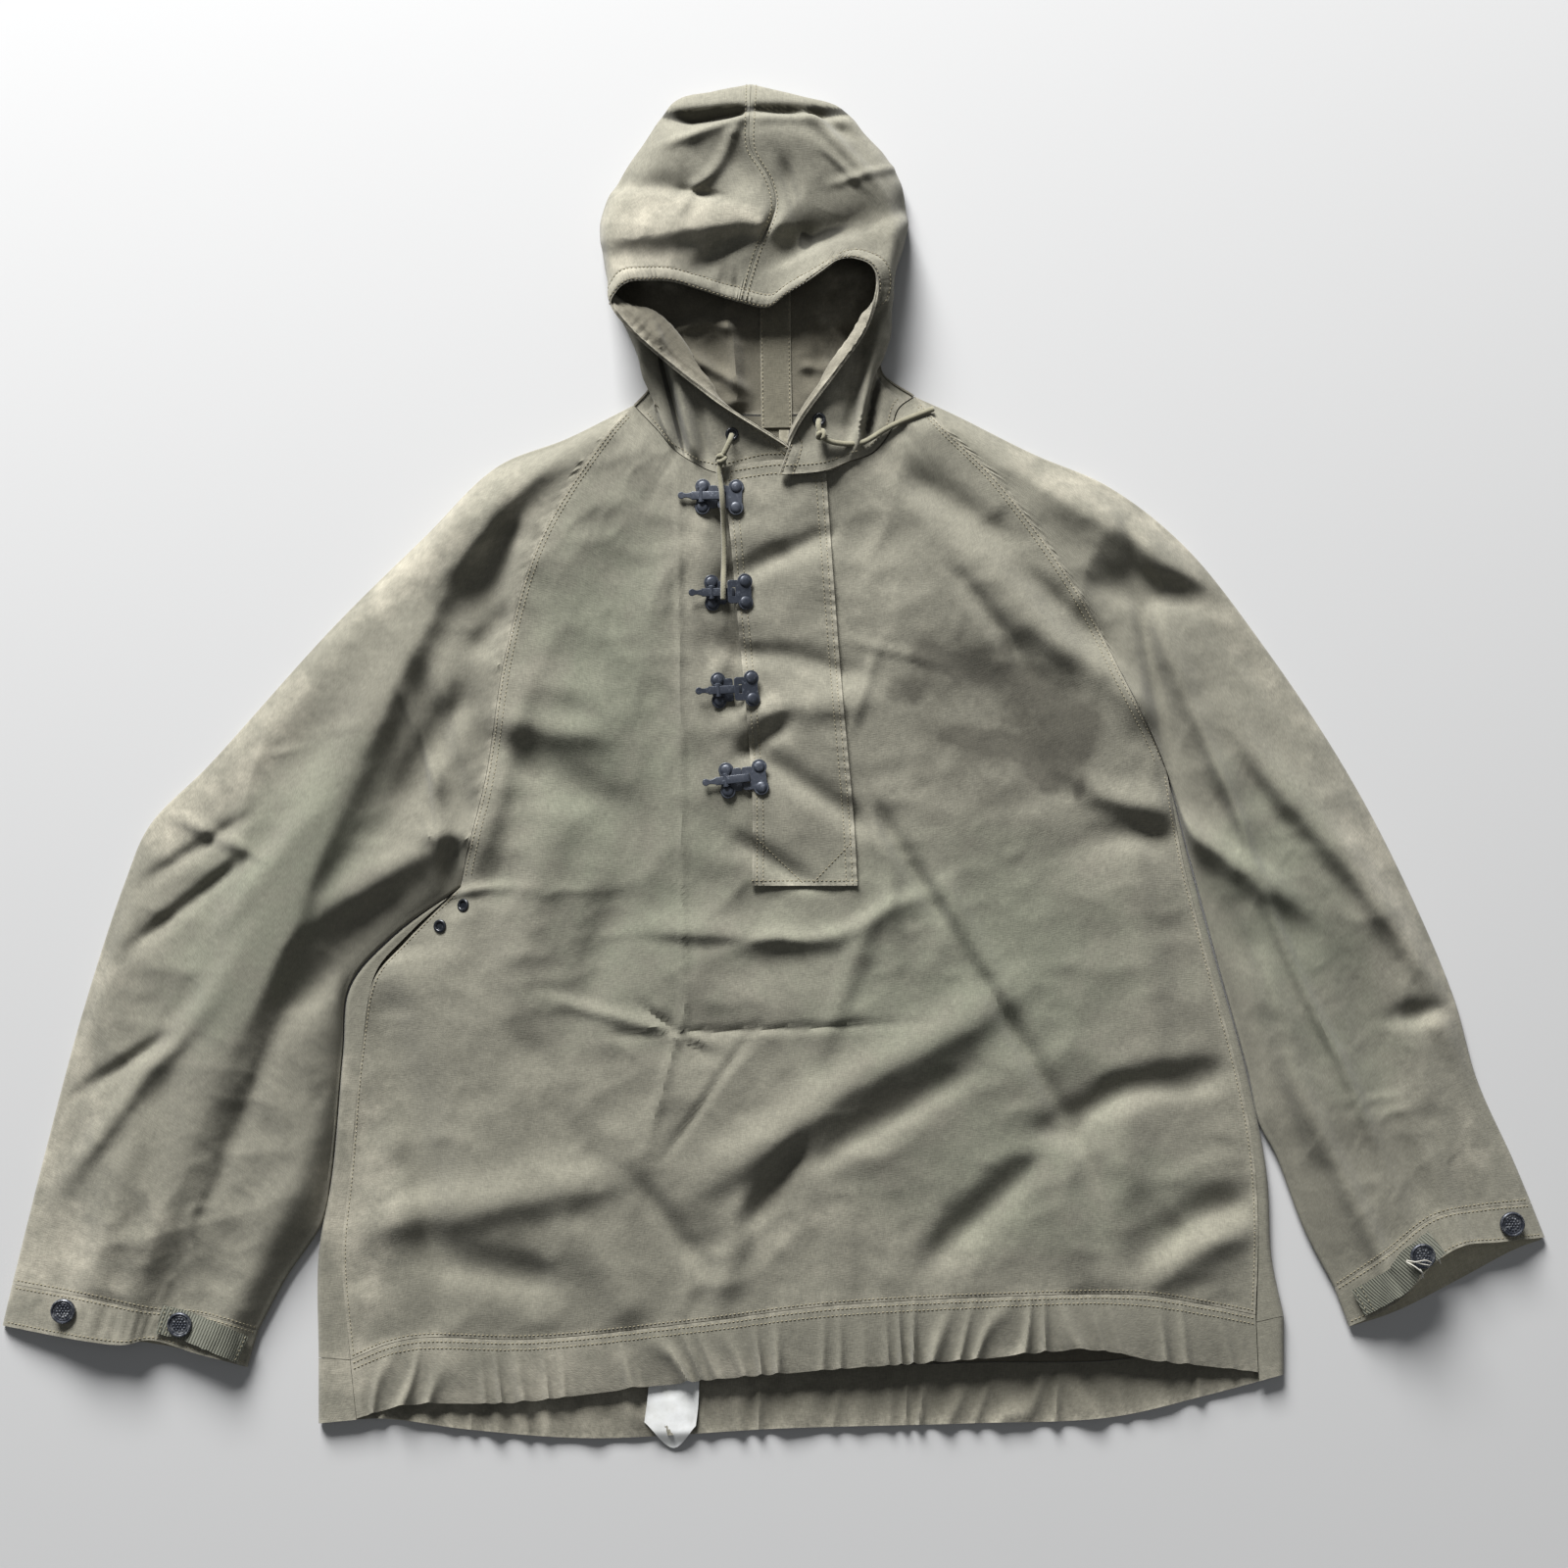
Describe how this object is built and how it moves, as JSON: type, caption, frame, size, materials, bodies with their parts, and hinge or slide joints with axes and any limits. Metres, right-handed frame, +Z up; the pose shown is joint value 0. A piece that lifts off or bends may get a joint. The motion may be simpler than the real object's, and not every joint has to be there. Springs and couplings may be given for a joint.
{
  "type": "anorak smock",
  "caption": "Hooded pullover anorak smock of olive canvas laid flat on its back, with raglan sleeves, a clasped placket flap and drawcord hem",
  "frame": {"origin": "centre of the bounding box at its bottom, on the surface that the smock lies on", "axes": "+X across the smock to its left sleeve, +Y from the hem to the hood, +Z up from the surface"},
  "size_m": [1.2562, 1.1088, 0.0462],
  "materials": {
    "canvas": "worn, faded olive khaki cotton canvas, matte",
    "webbing": "ribbed elastic webbing, matte",
    "cord": "braided cotton cord, matte",
    "label": "plain white woven cloth",
    "clasp_metal": "blue-black enamel, worn at the edges",
    "button_metal": "dark lacquered stamped metal",
    "eyelet_enamel": "black enamel, semi-gloss"
  },
  "bodies": {
    "root": {"front_body": "canvas", "back_body": "canvas", "hem_front": "canvas", "hem_back": "canvas", "sleeve_right": "canvas", "sleeve_left": "canvas", "cuff_right": "canvas", "cuff_left": "canvas", "placket_flap": "canvas", "placket_shield": "canvas", "hood_right": "canvas", "hood_left": "canvas", "hood_facing_right": "canvas", "hood_facing_left": "canvas", "hood_tape": "canvas", "hanger_loop": "webbing", "cuff_tab_right": "webbing", "cuff_tab_left": "webbing", "button_right_outer": "button_metal", "button_right_tab": "button_metal", "button_left_outer": "button_metal", "button_left_tab": "button_metal", "eyelet_body_1": "eyelet_enamel", "eyelet_body_2": "eyelet_enamel", "eyelet_hood_right": "eyelet_enamel", "eyelet_hood_left": "eyelet_enamel", "clasp_1_lever": "clasp_metal", "clasp_1_catch": "clasp_metal", "clasp_2_lever": "clasp_metal", "clasp_2_catch": "clasp_metal", "clasp_3_lever": "clasp_metal", "clasp_3_catch": "clasp_metal", "clasp_4_lever": "clasp_metal", "clasp_4_catch": "clasp_metal", "cord_right": "cord", "knot_right": "cord", "cord_left": "cord", "knot_left": "cord", "label": "label"}
  },
  "joints": []
}
